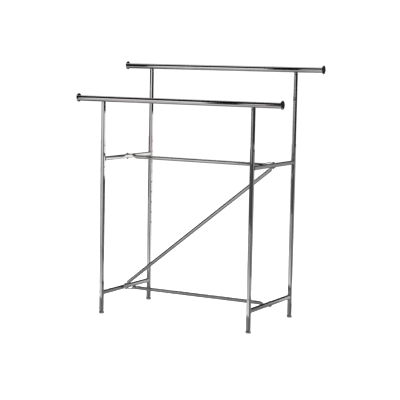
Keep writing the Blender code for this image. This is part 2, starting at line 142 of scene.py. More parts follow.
def ramp(tree, value, stops):
    node = tree.nodes.new("ShaderNodeValToRGB")
    tree.links.new(value, node.inputs["Fac"])
    elements = node.color_ramp.elements
    while len(elements) < len(stops):
        elements.new(0.5)
    for element, (position, colour) in zip(elements, stops):
        element.position = position
        element.color = (*colour, 1) if isinstance(colour, tuple) else (colour, colour, colour, 1)
    return node.outputs["Color"]


def bump(tree, height, distance, normal=None):
    node = node_at(tree, "ShaderNodeBump", Strength=1.0, Distance=distance)
    tree.links.new(height, node.inputs["Height"])
    if normal:
        tree.links.new(normal, node.inputs["Normal"])
    return node.outputs["Normal"]


def plated(name, light, dark, shine, ripple, stretch=(1, 1, 1), ripple_scale=24):
    """Plated metal: a cloudy tint, smudged and finely scratched, over slow ripples of the tube."""
    material = bpy.data.materials.new(name)
    material.use_nodes = True
    tree = material.node_tree
    shader = tree.nodes["Principled BSDF"]
    shader.inputs["Metallic"].default_value = 1.0
    coords = tree.nodes.new("ShaderNodeTexCoord")
    clouds = object_noise(tree, coords, CLOUD_SCALE, stretch)
    tint = ramp(tree, clouds, [(0.34, dark), (0.62, light)])
    tree.links.new(tint, shader.inputs["Base Color"])
    smudges = object_noise(tree, coords, SMUDGE_SCALE, (1, 1, 1), 5)
    low, high = shine
    rough = ramp(tree, smudges, [(0.38, low), (0.78, high)])
    tree.links.new(rough, shader.inputs["Roughness"])
    waves = object_noise(tree, coords, ripple_scale, stretch, 1)
    scratches = (1, 1, 0.05) if stretch[2] < 1 else (0.05, 1, 1)
    grain = object_noise(tree, coords, GRAIN_SCALE, scratches, 4)
    slow = bump(tree, waves, ripple)
    fine = bump(tree, grain, GRAIN_HEIGHT, slow)
    tree.links.new(fine, shader.inputs["Normal"])
    return material


def nylon_material():
    tint_scale, rough_scale, grain_scale, grain_height = 160, 420, 900, 0.00003
    dark, light = (0.74, 0.71, 0.64), (0.86, 0.84, 0.79)
    material = bpy.data.materials.new("natural_nylon")
    material.use_nodes = True
    tree = material.node_tree
    shader = tree.nodes["Principled BSDF"]
    shader.inputs["Subsurface Weight"].default_value = 0.15
    shader.inputs["Subsurface Scale"].default_value = 0.002
    coords = tree.nodes.new("ShaderNodeTexCoord")
    tint = ramp(tree, object_noise(tree, coords, tint_scale), [(0.3, dark), (0.7, light)])
    tree.links.new(tint, shader.inputs["Base Color"])
    rough = ramp(tree, object_noise(tree, coords, rough_scale), [(0.3, 0.36), (0.7, 0.56)])
    tree.links.new(rough, shader.inputs["Roughness"])
    grain = bump(tree, object_noise(tree, coords, grain_scale), grain_height)
    tree.links.new(grain, shader.inputs["Normal"])
    return material


CHROME = {"light": (0.90, 0.90, 0.91), "dark": (0.81, 0.775, 0.77)}
POST_CHROME = plated("chrome_post", **CHROME, shine=(0.035, 0.13), ripple=0.00050, stretch=(1, 1, 0.22))
RAIL_CHROME = plated("chrome_rail", **CHROME, shine=(0.03, 0.10), ripple=0.00022, stretch=(0.22, 1, 1))
BAR_CHROME = plated("chrome_bar", **CHROME, shine=(0.04, 0.13), ripple=0.00040, stretch=(0.35, 1, 1))
DULL_CHROME = plated(
    "chrome_low_bar", light=(0.80, 0.80, 0.81), dark=(0.70, 0.69, 0.69),
    shine=(0.26, 0.42), ripple=0.00040, stretch=(0.35, 1, 1),
)
CROSS_CHROME = plated("chrome_crossbar", **CHROME, shine=(0.05, 0.14), ripple=0.00045, stretch=(1, 0.3, 1))
CAP_CHROME = plated("chrome_cap", **CHROME, shine=(0.03, 0.09), ripple=0.00006, ripple_scale=60)
WELD_CHROME = plated(
    "chrome_weld", light=(0.84, 0.83, 0.83), dark=(0.66, 0.64, 0.62),
    shine=(0.10, 0.28), ripple=0.00025, ripple_scale=260,
)
ZINC = plated(
    "bright_zinc", light=(0.70, 0.71, 0.73), dark=(0.56, 0.57, 0.58),
    shine=(0.20, 0.38), ripple=0.00004, ripple_scale=190,
)
SPRING = plated(
    "spring_steel", light=(0.46, 0.47, 0.50), dark=(0.34, 0.35, 0.38),
    shine=(0.24, 0.40), ripple=0.00003, ripple_scale=120,
)
# Unplated steel for the tubes' insides, painted far darker than steel is: painted shade that makes the
# bores and holes read dark.
SHADED_BARE_STEEL = plated(
    "bare_steel_painted_shade", light=(0.10, 0.095, 0.09), dark=(0.04, 0.036, 0.034),
    shine=(0.45, 0.7), ripple=0.00005, ripple_scale=300,
)
NYLON = nylon_material()


# Mesh helpers


def link_mesh(name, mesh, material):
    obj = bpy.data.objects.new(name, mesh)
    bpy.context.scene.collection.objects.link(obj)
    mesh.materials.clear()
    mesh.materials.append(material)
    return obj


def from_bmesh(name, bm, material):
    bmesh.ops.recalc_face_normals(bm, faces=bm.faces)
    mesh = bpy.data.meshes.new(name)
    bm.to_mesh(mesh)
    bm.free()
    return link_mesh(name, mesh, material)


def bake(obj):
    """Applies the modifiers, keeping the object's one material."""
    graph = bpy.context.evaluated_depsgraph_get()
    mesh = bpy.data.meshes.new_from_object(obj.evaluated_get(graph))
    obj.modifiers.clear()
    old = obj.data
    obj.data = mesh
    bpy.data.meshes.remove(old)


def combine(obj, other, operation):
    modifier = obj.modifiers.new(operation.lower(), "BOOLEAN")
    modifier.operation = operation
    modifier.solver = "EXACT"
    modifier.object = other
    bake(obj)
    bpy.data.objects.remove(other)


def smooth(obj, angle=SHARP_ANGLE):
    obj.data.shade_smooth()
    obj.data.set_sharp_from_angle(angle=math.radians(angle))
    weighted = obj.modifiers.new("flat_faces_stay_flat", "WEIGHTED_NORMAL")
    weighted.keep_sharp = True
    weighted.weight = FLAT_FACE_WEIGHT
    return obj


def along(axis):
    return Vector((0, 0, 1)).rotation_difference(Vector(axis)).to_matrix().to_4x4()


def put(obj, location, axis=(0, 0, 1)):
    """Moves the mesh itself, so that object coordinates are the rack's own."""
    obj.data.transform(Matrix.Translation(location) @ along(axis))
    return obj


def stand_for(obj, node):
    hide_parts(node)
    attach(obj, BODY_OF[node])


def trim(obj, body):
    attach(obj, body)


def middle(node):
    low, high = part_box(node)
    return (low + high) / 2


def foot_of_axis(node):
    """The point on the ground under a node's upright axis."""
    low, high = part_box(node)
    return Vector(((low.x + high.x) / 2, (low.y + high.y) / 2, 0))


def rings_to_mesh(name, rings, material, loop=False):
    """Joins rings of points in turn, and either closes the loop or caps both ends."""
    bm = bmesh.new()
    loops = [[bm.verts.new(point) for point in ring] for ring in rings]
    pairs = list(zip(loops, loops[1:]))
    if loop:
        pairs.append((loops[-1], loops[0]))
    for first, second in pairs:
        count = len(first)
        for i in range(count):
            j = (i + 1) % count
            bm.faces.new((first[i], second[i], second[j], first[j]))
    if not loop:
        bm.faces.new(loops[0])
        bm.faces.new(loops[-1])
    return from_bmesh(name, bm, material)


def lathe(name, profile, steps, material, ring=False):
    """A solid turned about Z from (radius, height) points. A ring's profile is a closed outline."""
    on_axis = 1e-7
    angles = [2 * math.pi * i / steps for i in range(steps)]
    bm = bmesh.new()
    rows = []
    for radius, height in profile:
        if radius < on_axis:
            rows.append([bm.verts.new((0, 0, height))])
            continue
        rows.append([bm.verts.new((radius * math.cos(a), radius * math.sin(a), height)) for a in angles])
    pairs = list(zip(rows, rows[1:]))
    if ring:
        pairs.append((rows[-1], rows[0]))
    for upper, lower in pairs:
        for i in range(steps):
            j = (i + 1) % steps
            corners = (
                upper[i % len(upper)], lower[i % len(lower)],
                lower[j % len(lower)], upper[j % len(upper)],
            )
            unique = list(dict.fromkeys(corners))
            if len(unique) > 2:
                bm.faces.new(unique)
    return from_bmesh(name, bm, material)


def arc(centre, radius, start, end, count):
    angles = [math.radians(start + (end - start) * i / count) for i in range(count + 1)]
    return [(centre[0] + radius * math.cos(a), centre[1] + radius * math.sin(a)) for a in angles]


def cylinder(name, centre, axis, radius, length, steps):
    profile = [(0, length / 2), (radius, length / 2), (radius, -length / 2), (0, -length / 2)]
    return put(lathe(name, profile, steps, ZINC), centre, axis)


def add_prism(bm, sides, radius, length, place):
    bmesh.ops.create_cone(
        bm, cap_ends=True, segments=sides, radius1=radius, radius2=radius, depth=length, matrix=place
    )


def cut_round(obj, holes, steps=40):
    """Cuts (centre, axis, radius, length) holes, all at once."""
    bm = bmesh.new()
    for centre, axis, radius, length in holes:
        add_prism(bm, steps, radius, length, Matrix.Translation(centre) @ along(axis))
    combine(obj, from_bmesh(obj.name + "_cutter", bm, ZINC), "DIFFERENCE")


def rounded_square(side, corner, count=7, crown=0.0):
    """A square with round corners. Its sides bow out by crown, as rolled tube does, not growing."""
    reach = side / 2 - corner
    points = []
    for quarter in range(4):
        sign_x = 1 if quarter in (0, 3) else -1
        sign_y = 1 if quarter in (0, 1) else -1
        centre = (sign_x * (reach - crown), sign_y * (reach - crown))
        lean = math.degrees(2 * crown / reach)
        start, end = 90 * quarter + lean, 90 * quarter + 90 - lean
        points += arc(centre, corner, start, end, count)
        if not crown:
            continue
        turn = math.radians(90 * quarter + 90)
        for i in range(1, CROWN_STEPS):
            share = 1 - 2 * i / CROWN_STEPS
            out = side / 2 - crown * share**2
            sideways = -share * (reach - crown)
            points.append((
                out * math.cos(turn) - sideways * math.sin(turn),
                out * math.sin(turn) + sideways * math.cos(turn),
            ))
    return points


def square_tube(name, side, corner, length, material):
    """A square tube along Z whose cut ends are lightly deburred."""
    half, ease = length / 2, TUBE_EDGE
    bore, bore_corner = side - 2 * POST_WALL, corner - POST_WALL
    stations = [
        (side, corner, half - ease),
        (side - ease, corner - ease / 2, half),
        (bore + ease, bore_corner + ease / 2, half),
        (bore, bore_corner, half - ease),
        (bore, bore_corner, -half + ease),
        (bore + ease, bore_corner + ease / 2, -half),
        (side - ease, corner - ease / 2, -half),
        (side, corner, -half + ease),
    ]
    rings = []
    for width, radius, z in stations:
        rings.append([(x, y, z) for x, y in rounded_square(width, radius, crown=TUBE_CROWN)])
    return rings_to_mesh(name, rings, material, loop=True)


def bare_and_shaded_inside(obj, centre, axis, width):
    """Bare steel where plating hardly reaches, painted nearly black as shade, on every face of the bore
    and of the holes' edges.
    """
    obj.data.materials.append(SHADED_BARE_STEEL)
    shaded_bare = len(obj.data.materials) - 1
    reach = width / 2 - POST_WALL / 4
    across = [i for i in range(3) if i != axis]
    for face in obj.data.polygons:
        away = [abs(face.center[i] - centre[i]) for i in across]
        if max(away) < reach and abs(face.normal[axis]) < END_FACE_NORMAL:
            face.material_index = shaded_bare


# End frames


def inward(side):
    return -SIDES[side]


def screw_direction(side):
    return Vector((1, 0, 0)) if side == "left" else Vector((0, -1, 0))


def post(side, row):
    node = f"{side}_{row}_post"
    low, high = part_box(node)
    centre = (low + high) / 2
    width = high.x - low.x
    obj = put(square_tube(f"{node}_tube", width, POST_CORNER, high.z - low.z, POST_CHROME), centre)
    face = Vector((centre.x + inward(side) * width / 2, centre.y, 0))
    holes = [
        (face + Vector((0, 0, LOWEST_HOLE + i * HOLE_PITCH)), (1, 0, 0), HOLE_RADIUS, CUT_THROUGH)
        for i in range(HOLE_COUNT)
    ]
    drain = Vector((centre.x, centre.y, DRAIN_HEIGHT)) + screw_direction(side) * width / 2
    holes.append((drain, screw_direction(side), DRAIN_RADIUS, CUT_THROUGH))
    lock_height = middle(f"{side}_{row}_lock_screw").z
    lock = Vector((centre.x - inward(side) * width / 2, centre.y, lock_height))
    holes.append((lock, (1, 0, 0), SCREW_HOLE, CUT_THROUGH))
    cut_round(obj, holes)
    bare_and_shaded_inside(obj, centre, 2, width)
    stand_for(smooth(obj), node)


def crossbar(side, level):
    node = f"{side}_{level}_crossbar"
    low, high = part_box(node)
    centre = (low + high) / 2
    width = high.z - low.z
    tube = square_tube(f"{node}_tube", width, POST_CORNER, high.y - low.y, CROSS_CHROME)
    obj = put(tube, centre, (0, 1, 0))
    cut_round(obj, [(centre, (0, 0, 1), BOLT_HOLE, 2 * width)])
    bare_and_shaded_inside(obj, centre, 1, width)
    stand_for(smooth(obj), node)
    for row, toward in ROWS.items():
        weld_bead(side, level, row, centre, width, (high.y if toward > 0 else low.y), toward)


def weld_bead(side, level, row, centre, width, end, toward):
    """A plated fillet round the joint, slightly lumpy as a hand weld is."""
    rings = []
    for across, up in rounded_square(width + 2 * GAP, POST_CORNER + GAP, WELD_CORNER_STEPS):
        own_place = end * 31 + centre.x * 17
        lump = noise.noise(Vector((across * WELD_LUMP_SCALE, up * WELD_LUMP_SCALE, own_place)))
        reach = WELD_REACH + WELD_LUMP * lump
        out = Vector((across, 0, up)).normalized()
        base = Vector((centre.x + across, end, centre.z + up))
        ring = []
        for step in range(WELD_STEPS + 1):
            angle = math.pi / 2 * step / WELD_STEPS
            sag = 0.55 + 0.45 * abs(math.cos(2 * angle))
            lift = out * reach * sag * math.sin(angle)
            inset = Vector((0, toward, 0)) * reach * sag * math.cos(angle)
            ring.append(base + (lift - inset))
        ring.append(base + Vector((0, toward * GAP, 0)))
        rings.append(ring)
    bead = rings_to_mesh(f"{side}_{row}_{level}_weld", rings, WELD_CHROME, loop=True)
    trim(smooth(bead, 60), f"{side}_end_frame")


def glide(side, row):
    """A stem inside the post, a shoulder under it, and a skirt that spreads to the foot."""
    node = f"{side}_{row}_glide"
    low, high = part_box(node)
    radius = (high.x - low.x) / 2
    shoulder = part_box(f"{side}_{row}_post")[0].z - GAP
    stem, foot, half_post = 0.0085, 0.0110, 0.0127
    chamfer, edge_in, edge_down, skirt_steps = 0.001, 0.0005, 0.0006, 8
    skirt_top = shoulder - 0.0028
    curve = radius - foot
    profile = [(0, high.z), (stem - chamfer, high.z), (stem, high.z - chamfer), (stem, shoulder)]
    profile += [(half_post - edge_in, shoulder), (half_post, shoulder - edge_down), (half_post, skirt_top)]
    rise = skirt_top - (curve + 0.004)
    for i in range(1, skirt_steps + 1):
        share = i / skirt_steps
        out = half_post + (radius - half_post) * math.sin(share * math.pi / 2)
        profile.append((out, skirt_top - rise * share))
    profile += arc((foot, curve), curve, 0, -90, 12)
    profile.append((0, 0))
    obj = put(lathe(f"{node}_foot", profile, 72, CAP_CHROME), foot_of_axis(node))
    stand_for(smooth(obj), node)


# Fasteners


def hex_socket(obj, head_top, direction):
    bm = bmesh.new()
    add_prism(bm, 6, SOCKET_RADIUS, 2 * SOCKET_DEPTH, Matrix.Translation(head_top) @ along(direction))
    combine(obj, from_bmesh(obj.name + "_socket", bm, ZINC), "DIFFERENCE")


def domed_screw(node, direction):
    """A button-head socket screw on its node's own place."""
    low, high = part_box(node)
    direction = Vector(direction)
    tip = max(low.dot(direction), high.dot(direction))
    tail = min(low.dot(direction), high.dot(direction))
    centre = (low + high) / 2
    head_height, head_radius, flat_radius = 0.0030, 0.0055, 0.0024
    rim, edge, shank_radius = 0.0004, 0.0002, 0.0021
    base = centre + direction * (tip - centre.dot(direction) - head_height)
    shank = base.dot(direction) - tail
    profile = [(0, head_height), (flat_radius, head_height)]
    for degrees in range(9, 91, 9):
        turn = math.radians(degrees)
        out = flat_radius + (head_radius - flat_radius) * math.sin(turn)
        profile.append((out, rim + (head_height - rim) * math.cos(turn)))
    profile += [(head_radius, edge), (head_radius - edge, 0)]
    profile += [(shank_radius, 0), (shank_radius, -shank), (0, -shank)]
    obj = put(lathe(f"{node}_head", profile, 48, ZINC), base, direction)
    hex_socket(obj, base + direction * head_height, direction)
    stand_for(smooth(obj), node)


def hex_prism(name, radius, height):
    """A hexagon whose upper corners are turned off, as on a real bolt head or nut."""
    bm = bmesh.new()
    add_prism(bm, 6, radius, height, Matrix.Translation((0, 0, height / 2)))
    obj = from_bmesh(name, bm, ZINC)
    flat = radius * math.cos(math.pi / 6)
    drop = (radius - flat) * math.tan(math.radians(HEX_CHAMFER_ANGLE))
    profile = [
        (0, height), (flat, height), (radius + 0.0004, height - drop), (radius + 0.001, 0), (0, 0),
    ]
    combine(obj, lathe(name + "_turned", profile, 72, ZINC), "INTERSECT")
    return obj


def threaded(radius, top, bottom):
    """Profile points of a thread drawn as fine turned grooves."""
    root = radius - THREAD_DEPTH
    points = []
    height = top
    while height - THREAD_PITCH > bottom:
        points += [(radius, height), (root, height - THREAD_PITCH / 2)]
        height -= THREAD_PITCH
    points += [(radius, height), (root, bottom)]
    return points


def pivot(side, level):
    """A hexagon bolt, head up, and its lock nut."""
    bolt, nut = f"{side}_{level}_pivot_bolt", f"{side}_{level}_pivot_nut"
    low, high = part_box(bolt)
    nut_low, nut_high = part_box(nut)
    axis = foot_of_axis(bolt)
    radius = (high.x - low.x) / 2
    head_base = high.z - BOLT_HEAD
    head = put(hex_prism(f"{bolt}_hex", radius, BOLT_HEAD), axis + Vector((0, 0, head_base)))
    shank_top, thread_top = head_base + 0.001, nut_high.z + 0.004
    shank = [(0, shank_top), (SHANK_RADIUS, shank_top), (SHANK_RADIUS, thread_top)]
    shank += threaded(SHANK_RADIUS, thread_top, low.z + 0.0004)
    shank += [(SHANK_RADIUS - 0.0008, low.z), (0, low.z)]
    combine(head, put(lathe(f"{bolt}_shank", shank, 40, ZINC), axis), "UNION")
    stand_for(smooth(head), bolt)

    height = nut_high.z - nut_low.z
    collar, lip_edge = 0.0018, 0.0006
    body = hex_prism(f"{nut}_hex", radius, height - collar)
    body.data.transform(Matrix.Rotation(math.pi, 4, "X"))
    put(body, axis + Vector((0, 0, nut_high.z)))
    lip = radius * math.cos(math.pi / 6) * 0.94
    lip_top = nut_low.z + collar + 0.0004
    bore = SHANK_RADIUS + GAP
    profile = [
        (lip, lip_top), (lip, nut_low.z + lip_edge), (lip - lip_edge, nut_low.z),
        (bore, nut_low.z), (bore, lip_top),
    ]
    combine(body, put(lathe(f"{nut}_collar", profile, 60, ZINC, ring=True), axis), "UNION")
    nut_middle = axis + Vector((0, 0, (nut_low.z + nut_high.z) / 2))
    cut_round(body, [(nut_middle, (0, 0, 1), bore, 2 * height)])
    stand_for(smooth(body), nut)


def washer(side, level):
    node = f"{side}_{level}_pivot_washer"
    low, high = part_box(node)
    radius = (high.x - low.x) / 2
    half = (high.z - low.z) / 2
    ease = 0.0002
    profile = [
        (radius - ease, half), (radius, half - ease), (radius, -half + ease), (radius - ease, -half),
        (BOLT_HOLE, -half), (BOLT_HOLE, half),
    ]
    stand_for(smooth(put(lathe(f"{node}_disc", profile, 64, NYLON, ring=True), middle(node))), node)


# Telescoping uprights


def upright(side, row):
    node = f"{side}_{row}_upright"
    low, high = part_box(node)
    centre = (low + high) / 2
    width = high.x - low.x
    obj = put(square_tube(f"{node}_tube", width, UPRIGHT_CORNER, high.z - low.z, POST_CHROME), centre)
    button_height = button_centre(side, row).z
    screw_height = middle(f"{side}_{row}_set_screw").z
    direction = screw_direction(side)
    button = Vector((centre.x + inward(side) * width / 2, centre.y, button_height))
    screw = Vector((centre.x, centre.y, screw_height)) + direction * width / 2
    cut_round(obj, [
        (button, (1, 0, 0), HOLE_RADIUS, CUT_THROUGH),
        (screw, direction, SCREW_HOLE, CUT_THROUGH),
    ])
    bare_and_shaded_inside(obj, centre, 2, width)
    stand_for(smooth(obj), node)
    domed_screw(f"{side}_{row}_set_screw", direction)
    domed_screw(f"{side}_{row}_lock_screw", (SIDES[side], 0, 0))


def button_centre(side, row):
    """The leaf stands above the button's axis, up to the top of the clip's box."""
    low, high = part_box(f"{side}_{row}_button_clip")
    return Vector((0, (low.y + high.y) / 2, high.z - LEAF_RISE))


def button_clip(side, row):
    """A domed button with a flange behind it, on a leaf spring that runs down inside the upright."""
    node = f"{side}_{row}_button_clip"
    low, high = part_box(node)
    centre = button_centre(side, row)
    facing = inward(side)
    tip_x = high.x if facing > 0 else low.x
    depth = high.x - low.x
    radius, flange_radius, flange, thickness = 0.0043, 0.0062, 0.0014, 0.0008
    flange_face = depth - flange - thickness / 2
    crown = radius * 0.6
    profile = []
    for degrees in range(0, 91, 9):
        turn = math.radians(degrees)
        profile.append((radius * math.sin(turn), -crown + crown * math.cos(turn)))
    profile += [(radius, -flange_face), (flange_radius, -flange_face)]
    profile += [(flange_radius, -flange_face - flange), (0, -flange_face - flange)]
    obj = put(lathe(f"{node}_button", profile, 56, ZINC), (tip_x, centre.y, centre.z), (facing, 0, 0))

    back, foot = -depth + thickness / 2, -flange_face - thickness / 2
    path = [
        (LEAF_RISE, back), (0.0, back), (-0.0080, back), (-0.020, back + flange * 0.35),
        (-0.034, foot), (-0.050, foot),
    ]
    rings = []
    half_width = 0.0050
    for up, out in path:
        x, z = tip_x + facing * out, centre.z + up
        step = Vector((thickness / 2, 0, 0))
        rings.append([
            Vector((x, centre.y - half_width, z)) - step, Vector((x, centre.y + half_width, z)) - step,
            Vector((x, centre.y + half_width, z)) + step, Vector((x, centre.y - half_width, z)) + step,
        ])
    leaf = rings_to_mesh(f"{node}_leaf", rings, SPRING)
    stand_for(smooth(obj), node)
    trim(smooth(leaf), BODY_OF[node])


# Hang rails


def rail(row):
    node = f"{row}_rail"
    low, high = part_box(node)
    radius = (high.z - low.z) / 2
    half = (high.x - low.x) / 2
    inner = radius - RAIL_WALL
    profile = [(radius, half), (radius, -half), (inner, -half), (inner, half)]
    tube = lathe(f"{node}_tube", profile, RAIL_STEPS, RAIL_CHROME, ring=True)
    stand_for(smooth(put(tube, middle(node), (1, 0, 0))), node)


def rail_stub(side, row):
    """A saddle cut to the rail's round, and a pin that goes down into the upright."""
    node = f"{side}_{row}_rail_stub"
    low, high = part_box(node)
    rail_low, rail_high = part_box(f"{row}_rail")
    rail_radius = (rail_high.z - rail_low.z) / 2
    rail_centre = (rail_high.z + rail_low.z) / 2
    saddle, saddle_top = (high.x - low.x) / 2, rail_centre - rail_radius * 0.8
    pin, nose, edge = 0.0095, 0.002, 0.0003
    seat = rail_low.z - 0.0016 + GAP
    place = foot_of_axis(node)
    profile = [(0, saddle_top), (saddle, saddle_top), (saddle, seat + edge)]
    profile += [(saddle - edge, seat), (pin, seat), (pin, low.z + nose)]
    profile += arc((pin - nose, low.z + nose), nose, 0, -90, 5) + [(0, low.z)]
    obj = put(lathe(f"{node}_pin", profile, 64, CAP_CHROME), place)
    rail_place = (place.x, place.y, rail_centre)
    cut_round(obj, [(rail_place, (1, 0, 0), rail_radius + GAP, 4 * saddle)], RAIL_STEPS)
    stand_for(smooth(obj), node)


def end_cap(side, row):
    """A slightly domed disc with a plug inside the rail."""
    node = f"{side}_{row}_end_cap"
    low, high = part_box(node)
    outward = SIDES[side]
    radius = (high.z - low.z) / 2
    centre = (low + high) / 2
    rail_low, rail_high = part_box(f"{row}_rail")
    rail_end = rail_high.x if outward > 0 else rail_low.x
    base = rail_end + outward * GAP
    thickness = abs((high.x if outward > 0 else low.x) - base)
    dome = thickness / 2
    edge = thickness - dome
    sphere = (radius**2 + dome**2) / (2 * dome)
    outer_round, inner_round = 0.0010, 0.0008
    spread = math.degrees(math.asin((radius - 0.0012) / sphere))
    profile = arc((0, thickness - sphere), sphere, 90, 90 - spread, 16)
    profile[0] = (0, thickness)
    profile += arc((radius - outer_round, profile[-1][1] - outer_round), outer_round, 75, 0, 4)
    profile.append((radius, inner_round))
    profile += arc((radius - inner_round, inner_round), inner_round, -15, -90, 4)
    profile.append((0, 0))
    obj = put(lathe(f"{node}_disc", profile, 112, CAP_CHROME), (base, centre.y, centre.z), (outward, 0, 0))
    plug_radius = (rail_high.z - rail_low.z) / 2 - RAIL_WALL - 2 * GAP
    plug_length = (high.x - low.x) - thickness
    rail_centre = (rail_low.z + rail_high.z) / 2
    span = plug_length + edge / 2
    plug_middle = (base - outward * (plug_length - edge / 2) / 2, centre.y, rail_centre)
    plug = cylinder(f"{node}_plug", plug_middle, (1, 0, 0), plug_radius, span, 96)
    combine(obj, plug, "UNION")
    stand_for(smooth(obj), node)


# Z brace


def superellipse(half_width, half_height, power):
    points = []
    for i in range(RING_POINTS):
        angle = 2 * math.pi * (i + 0.5) / RING_POINTS
        across = math.copysign(abs(math.cos(angle)) ** (2 / power), math.cos(angle))
        up = math.copysign(abs(math.sin(angle)) ** (2 / power), math.sin(angle))
        points.append((half_width * across, half_height * up))
    return points


def mix(a, b, share):
    return a + (b - a) * share


def bar_end(bolt, tube_start, direction, flat):
    """Sections from a round flat tip, past the bolt and along the flat, to the full round tube."""
    level = Vector((math.copysign(1, direction.x), 0, 0))
    thin = TONGUE_HALF_THICKNESS
    stations = []
    for share in (0.995, 0.97, 0.92, 0.82, 0.66, 0.45, 0.22, 0.0):
        width = max(TONGUE_HALF_WIDTH * math.sqrt(1 - share**2), TONGUE_TIP)
        stations.append((bolt - level * TONGUE_HALF_WIDTH * share, level, width, thin, SQUARE_POWER))
    flat_end = bolt + level * flat
    stations.append((flat_end, level, TONGUE_HALF_WIDTH, thin, SQUARE_POWER))
    for i in range(1, TAPER_STEPS + 1):
        step = i / TAPER_STEPS
        ease = step * step * (3 - 2 * step)
        straight = flat_end.lerp(tube_start, step)
        eased = mix(flat_end.z, tube_start.z, ease)
        centre = Vector((straight.x, 0, mix(eased, straight.z, abs(direction.z))))
        heading = level.lerp(direction, ease).normalized()
        width = mix(TONGUE_HALF_WIDTH, BAR_RADIUS, ease)
        thickness = mix(thin, BAR_RADIUS, ease)
        stations.append((centre, heading, width, thickness, mix(SQUARE_POWER, ROUND_POWER, ease)))
    return stations


def brace_bar(node, left_bolt, right_bolt, left_start, right_start, flat, material=BAR_CHROME):
    direction = (right_start - left_start).normalized()
    stations = bar_end(left_bolt, left_start, direction, flat)
    for centre, heading, *section in reversed(bar_end(right_bolt, right_start, -direction, flat)):
        stations.append((centre, -heading, *section))
    rings = []
    for centre, heading, width, thickness, power in stations:
        above = Vector((-heading.z, 0, heading.x))
        outline = superellipse(width, thickness, power)
        rings.append([centre + Vector((0, across, 0)) + above * up for across, up in outline])
    bar = rings_to_mesh(f"{node}_tube", rings, material)
    cut_round(bar, [(bolt, (0, 0, 1), BOLT_HOLE, 0.02) for bolt in (left_bolt, right_bolt)])
    stand_for(smooth(bar, 40), node)


def z_brace():
    half = abs(middle("right_upper_pivot_bolt").x)
    run = TONGUE_FLAT + TONGUE_TAPER
    low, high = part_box("brace_upper_bar")
    tongue, axis = high.z - TONGUE_HALF_THICKNESS, low.z + BAR_RADIUS
    brace_bar(
        "brace_upper_bar", Vector((-half, 0, tongue)), Vector((half, 0, tongue)),
        Vector((-half + run, 0, axis)), Vector((half - run, 0, axis)), TONGUE_FLAT,
    )
    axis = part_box("brace_lower_bar")[1].z - BAR_RADIUS
    left_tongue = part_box("left_lower_crossbar")[0].z - GAP - TONGUE_HALF_THICKNESS
    right_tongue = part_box("right_lower_pivot_washer")[0].z - GAP - TONGUE_HALF_THICKNESS
    brace_bar(
        "brace_lower_bar", Vector((-half, 0, left_tongue)), Vector((half, 0, right_tongue)),
        Vector((-half + run, 0, axis)), Vector((half - run, 0, axis)), TONGUE_FLAT, DULL_CHROME,
    )
    low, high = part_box("brace_diagonal_bar")
    start = Vector((-half, 0, low.z + TONGUE_HALF_THICKNESS))
    end = Vector((half, 0, high.z - TONGUE_HALF_THICKNESS))
    run = DIAGONAL_FLAT + DIAGONAL_TAPER
    rise = Vector((run, 0, run * (end.z - start.z) / (end.x - start.x)))
    brace_bar("brace_diagonal_bar", start, end, start + rise, end - rise, DIAGONAL_FLAT)


def build_rack():
    for side in SIDES:
        for level in ("lower", "upper"):
            crossbar(side, level)
            pivot(side, level)
            washer(side, level)
        for row in ROWS:
            post(side, row)
            glide(side, row)
            upright(side, row)
            button_clip(side, row)
            rail_stub(side, row)
            end_cap(side, row)
    for row in ROWS:
        rail(row)
    z_brace()


build_rack()


# Studio. The floor and the soft light don't show in reflections. The cards show only there: they
# give the chrome a pale and dark room to reflect.

WORLD_STRENGTH = 1.12
WORLD_REFLECTED = 0.30
FLOOR_RADIUS = 60
FLOOR_DEPTH = 0.0002
FLOOR_TONES = (0.935, 0.955)

# The room, seen from the front. Cards stand on its walls, floor and ceiling.
FRONT, BACK = -3.0, 1.6
LEFT, RIGHT = -4.2, 4.6
CEILING = 3.3
EYE_HEIGHT = 1.55

# Dark walls on the front and both sides, with a pale foot
WALL_FOOT = 0.6
FOOT_TOP = 0.32
FOOT_LIGHT = 0.42
WALL_LOW = 0.13
WALL_HIGH = 0.012

# Strips before those walls, as (near, far, low, top) along the wall and up it
STRIP_LIGHT = (0.42, 1.15)
STRIP_TOP = 2.9
STRIP_FORWARD = 0.02
SIDE_STRIPS = ((0.9, 1.4, -WALL_FOOT, EYE_HEIGHT), (2.5, 3.0, -WALL_FOOT, EYE_HEIGHT))
FRONT_STRIPS = (
    (0.35, 0.85, -WALL_FOOT, EYE_HEIGHT),
    (5.22, 5.5, 0.9, STRIP_TOP),
    (5.85, 7.25, -WALL_FOOT, STRIP_TOP),
)

# White paper, a grey card and dark cloth on the back wall
PAPER_START = 0.0
PAPER_EDGE = 0.95
PAPER_TOP = 1.34
GREY_EDGE = 2.5
GREY_TOP = 1.12
DARK_BEHIND = (0.06, 0.03)
LOW_FLAG_START = 0.42
LOW_FLAG_TOP = 0.76
LOW_FLAG_FORWARD = 0.02
LOW_FLAG_TONES = (0.30, 0.03)

# A softbox over the rack's rear half, and the floor in pale and dark patches. The grey patch under the
# rack is the rack's painted shadow, and the floor before it is painted shade, darker away from the light
SOFTBOX_START = 0.35
PATCH_LEFT, PATCH_RIGHT = -1.5, 1.2
PATCH_FRONT, PATCH_BACK = -0.85, 0.8
PATCH_DEPTH = 0.002

OVERHEAD_PLACE = (-1.2, -1.8, 4.6)
OVERHEAD_SIZE = (4.5, 3.5)
OVERHEAD_POWER = 190
OVERHEAD_AIM = (0, 0, 0.7)

CAMERA_PLACE = (4.3642, -7.7962, 1.827)
CAMERA_YAW, CAMERA_PITCH, CAMERA_ROLL = 0.5083, -0.1116, 0.0194
CAMERA_SENSOR = 36
CAMERA_LENS = 114.72
CAMERA_REACH = 200
DISPLAY_GAMMA = 0.79


